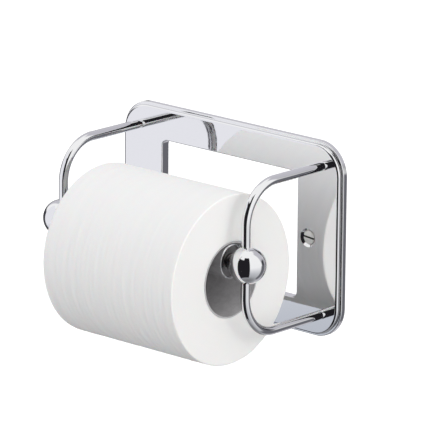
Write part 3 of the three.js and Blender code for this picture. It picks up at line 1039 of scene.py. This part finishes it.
def cardboard_core():
    """The tube: two spiral plies, so a shallow joint winds along it inside and out."""
    around, along = 160, 120
    low, high = CORE_LOW.x, CORE_HIGH.x
    pitch, seam_share, seam_depth, pulp_depth = 55 * MM, 0.018, 0.12 * MM, 0.03 * MM
    build = Build()

    def seam(x, u):
        phase = (x / pitch + u) % 1.0
        return math.exp(-((phase - 0.5) / seam_share) ** 2)

    def row(x, radius, sign):
        points = []
        for i in range(around):
            u = i / around
            pulp = noise.noise(Vector((x * 300, 4 * math.cos(TAU * u), 4 * math.sin(TAU * u))))
            r = radius - sign * seam_depth * seam(x, u)
            r += pulp_depth * pulp
            points.append(axis_point("x", (0, ROLL_CENTRE.y, ROLL_CENTRE.z), r, x, TAU * u))
        return build.ring(points)

    inner = CORE_RADIUS - CORE_WALL
    rows = []
    for k in range(along + 1):
        rows.append(row(low + (high - low) * k / along, CORE_RADIUS - pulp_depth, 1))
    rows.append(row(high, CORE_RADIUS - CORE_WALL / 2, 0))
    for k in range(along + 1):
        rows.append(row(high - (high - low) * k / along, inner + pulp_depth, -0.5))
    build.loft(rows, closed=True)
    obj = mesh_object("cardboard_core_wound", build, 50)
    return finish_piece(obj, "cardboard_core", "roll", CARDBOARD)


# ------------------------------------------------------------------ the object

back_plate()
for side_sign in (-1, 1):
    side_name = "left" if side_sign < 0 else "right"
    wire_arm(side_sign)
    ball(side_sign)
    grub_screw(f"{side_name}_ball_grub_screw")
    screw(f"{side_name}_wall_screw", WALL_SCREW, SCREW_STEEL)
    wall_plug(f"{side_name}_wall_plug")
    for level_name in ("upper", "lower"):
        screw(f"{side_name}_{level_name}_arm_screw", ARM_SCREW, TURNED_STEEL)
roller_sleeve()
roller_plunger()
roller_cap("roller_sleeve_cap", "roller")
roller_cap("roller_plunger_cap", "plunger")
roller_pin("roller_sleeve_pin", "roller")
roller_pin("roller_plunger_pin", "plunger")
plunger_stop()
roller_spring()
paper_roll()
cardboard_core()

# ------------------------------------------------------------------ studio


# What the polished metal reflects, by direction: azimuth from straight ahead of the plate (-Y)
# towards +X, elevation, how soft the edge is, all in degrees, and the light's colour.
STUDIO_PATCHES = [
    ("grey wall behind, right half", (156, 190), (-60, 14), 8, (0.42, 0.41, 0.44)),
    ("grey wall behind, upper right", (134, 190), (14, 62), 6, (0.57, 0.56, 0.61)),
    ("grey wall behind, left half", (-190, -104), (-60, 62), 8, (0.6, 0.59, 0.64)),
    ("flag behind on the left", (-145, -48), (-60, 9), 4, (0.06, 0.06, 0.07)),
    ("flag behind on the right", (138, 160), (-52, 16), 6, (0.05, 0.05, 0.06)),
    ("stand behind on the right", (133, 162), (-60, -4), 4, (0.15, 0.15, 0.17)),
    ("dark room in front", (-27, 56), (-64, 58), 2, (0.017, 0.016, 0.019)),
    ("dark room's left side", (-48, -27), (-64, 40), 2, (0.017, 0.016, 0.019)),
    ("lamp over the camera", (-24, 13), (43, 70), 3, (1.0, 1.0, 1.0)),
]

# The light at each elevation where there is no patch.
STUDIO_SKY = [
    (-90, (0.18, 0.18, 0.19)),
    (-72, (0.26, 0.265, 0.28)),
    (-57, (0.43, 0.44, 0.465)),
    (-37, (0.57, 0.58, 0.61)),
    (-20, (0.76, 0.765, 0.79)),
    (-3, (0.98, 0.98, 0.99)),
    (25, (1.0, 1.0, 1.0)),
    (90, (1.0, 1.0, 1.0)),
]

# The light that falls on matt surfaces: an even part, and how it grows towards +X, +Y and +Z.
SOFT_LIGHT_EVEN = 0.72
SOFT_LIGHT_SLOPE = (0.53, -0.2, 0.45)
SOFT_LIGHT_MOST = 1.14
UNDERSIDE_SHADE = 0.75  # how much of it the wall takes away, from behind and below


def studio_world():
    """White to the camera, softboxes and dark flags to the metal, an even soft light to the rest."""
    world = bpy.data.worlds.new("studio")
    bpy.context.scene.world = world
    world.use_nodes = True
    n = Nodes(world.node_tree)
    direction = n.add("ShaderNodeTexCoord").outputs["Generated"]
    split = n.add("ShaderNodeSeparateXYZ")
    n.feed(split.inputs[0], direction)
    x, y, z = split.outputs
    azimuth = n.math("DEGREES", n.math("ARCTAN2", x, n.math("MULTIPLY", y, -1.0)))
    elevation = n.math("DEGREES", n.math("ARCSINE", z))

    sky = n.add("ShaderNodeValToRGB")
    n.feed(sky.inputs[0], n.ramp(elevation, -90, 90, 0, 1, "LINEAR"))
    stops = sky.color_ramp.elements
    while len(stops) < len(STUDIO_SKY):
        stops.new(0.5)
    for stop, (degrees, tone) in zip(stops, STUDIO_SKY):
        stop.position = (degrees + 90) / 180
        stop.color = (*tone, 1)
    shine = sky.outputs[0]
    for _, azimuths, elevations, soft, tone in STUDIO_PATCHES:
        mask = None
        for value, (low, high) in ((azimuth, azimuths), (elevation, elevations)):
            inside = n.math(
                "MULTIPLY",
                n.ramp(value, low - soft, low + soft),
                n.ramp(value, high - soft, high + soft, 1.0, 0.0),
            )
            mask = inside if mask is None else n.math("MULTIPLY", mask, inside)
        shine = n.blend(mask, shine, (*tone, 1))

    slope = n.add("ShaderNodeVectorMath", operation="DOT_PRODUCT")
    n.feed(slope.inputs[0], direction)
    n.feed(slope.inputs[1], SOFT_LIGHT_SLOPE)
    soft_level = n.math("ADD", slope.outputs["Value"], SOFT_LIGHT_EVEN)
    soft_level = n.math("MINIMUM", n.math("MAXIMUM", soft_level, 0.03), SOFT_LIGHT_MOST)
    shade = n.math("MULTIPLY", n.ramp(y, 0, 0.6, 0, UNDERSIDE_SHADE), n.ramp(z, -0.4, 0.25, 1, 0))
    soft_level = n.math("MULTIPLY", soft_level, n.math("SUBTRACT", 1.0, shade))

    path = n.add("ShaderNodeLightPath")
    from_matt = n.math("MINIMUM", path.outputs["Diffuse Depth"], 1.0)
    light = n.blend(from_matt, shine, soft_level)
    light = n.blend(path.outputs["Is Camera Ray"], light, (1, 1, 1, 1))
    background = n.add("ShaderNodeBackground")
    n.feed(background.inputs["Color"], light)
    output = n.add("ShaderNodeOutputWorld")
    n.feed(output.inputs["Surface"], background.outputs[0])
    world.cycles.sampling_method = "NONE"


def reflector_card():
    """An upright card to the left of the holder and in front of it, lavender white and bluer
    towards its foot. Only the metal sees it."""
    made, n = material("reflector_card")
    place = n.add("ShaderNodeSeparateXYZ")
    n.feed(place.inputs[0], n.add("ShaderNodeTexCoord").outputs["Object"])
    tone = n.blend(
        n.ramp(place.outputs[2], -0.15, -0.05), (0.55, 0.58, 0.645, 1), (0.89, 0.89, 0.94, 1))
    glow = n.add("ShaderNodeEmission")
    n.feed(glow.inputs["Color"], tone)
    output = n.add("ShaderNodeOutputMaterial")
    n.feed(output.inputs["Surface"], glow.outputs[0])
    near, far = Vector((-0.035, -0.32)), Vector((-0.208, -0.106))
    foot, head = -0.35, 0.2
    build = Build()
    build.ring([(*near, foot), (*far, foot), (*far, head), (*near, head)])
    build.faces.append((0, 1, 2, 3))
    card = mesh_object("reflector_card", build)
    card.data.materials.append(made)
    card.visible_camera = False
    card.visible_diffuse = False
    card.visible_shadow = False
    card.visible_transmission = False


def key_light():
    """A soft lamp to the right and a little above, for the faint shadows on the roll's end."""
    azimuth, elevation, distance = math.radians(98), math.radians(27), 1.5
    towards = Vector((
        math.sin(azimuth) * math.cos(elevation),
        -math.cos(azimuth) * math.cos(elevation),
        math.sin(elevation),
    ))
    lamp = bpy.data.lights.new("key_light", "AREA")
    lamp.shape = "DISK"
    lamp.size = 0.28
    lamp.energy = 1.5
    obj = bpy.data.objects.new("key_light", lamp)
    bpy.context.scene.collection.objects.link(obj)
    turn = towards.to_track_quat("Z", "Y").to_matrix().to_4x4()
    obj.matrix_world = Matrix.Translation(towards * distance) @ turn
    obj.visible_glossy = False
    obj.visible_camera = False


def studio_floor():
    """A pale floor well below the object, shown from above only."""
    made, n = material("studio_floor")
    shade = n.add("ShaderNodeBsdfDiffuse")
    n.feed(shade.inputs["Color"], (0.9, 0.9, 0.9, 1))
    glow = n.add("ShaderNodeEmission")
    n.feed(glow.inputs["Strength"], 0.35)
    both = n.add("ShaderNodeAddShader")
    n.feed(both.inputs[0], shade.outputs[0])
    n.feed(both.inputs[1], glow.outputs[0])
    clear = n.add("ShaderNodeBsdfTransparent")
    choose = n.add("ShaderNodeMixShader")
    n.feed(choose.inputs[0], n.add("ShaderNodeNewGeometry").outputs["Backfacing"])
    n.feed(choose.inputs[1], both.outputs[0])
    n.feed(choose.inputs[2], clear.outputs[0])
    output = n.add("ShaderNodeOutputMaterial")
    n.feed(output.inputs["Surface"], choose.outputs[0])
    half = 6.0
    level = CAD_LOW.z - 0.35
    build = Build()
    build.ring((half * sx, half * sy, level) for sx, sy in ((-1, -1), (1, -1), (1, 1), (-1, 1)))
    build.faces.append((0, 1, 2, 3))
    floor = mesh_object("floor", build)
    floor.data.materials.append(made)
    floor.visible_glossy = False
    floor.visible_diffuse = False
    floor.visible_shadow = False


def camera():
    """A long lens, well to the right of the plate and a little above it."""
    azimuth, elevation, roll = math.radians(42.24), math.radians(15.29), math.radians(0.51)
    distance = 2.8
    aim = Vector((-0.0074, -0.0072, -0.0011))
    back = Vector((
        math.sin(azimuth) * math.cos(elevation),
        -math.cos(azimuth) * math.cos(elevation),
        math.sin(elevation),
    ))
    right = Vector((math.cos(azimuth), math.sin(azimuth), 0))
    up = back.cross(right)
    turned_right = right * math.cos(roll) + up * math.sin(roll)
    turned_up = up * math.cos(roll) - right * math.sin(roll)
    data = bpy.data.cameras.new("camera")
    data.lens = 383
    data.sensor_width = 36
    data.clip_start = 0.1
    data.clip_end = 50
    obj = bpy.data.objects.new("camera", data)
    bpy.context.scene.collection.objects.link(obj)
    turn = Matrix((turned_right, turned_up, back)).transposed()
    obj.matrix_world = Matrix.Translation(aim + back * distance) @ turn.to_4x4()
    bpy.context.scene.camera = obj


studio_world()
reflector_card()
key_light()
studio_floor()
camera()
bpy.context.scene.view_settings.view_transform = "Standard"
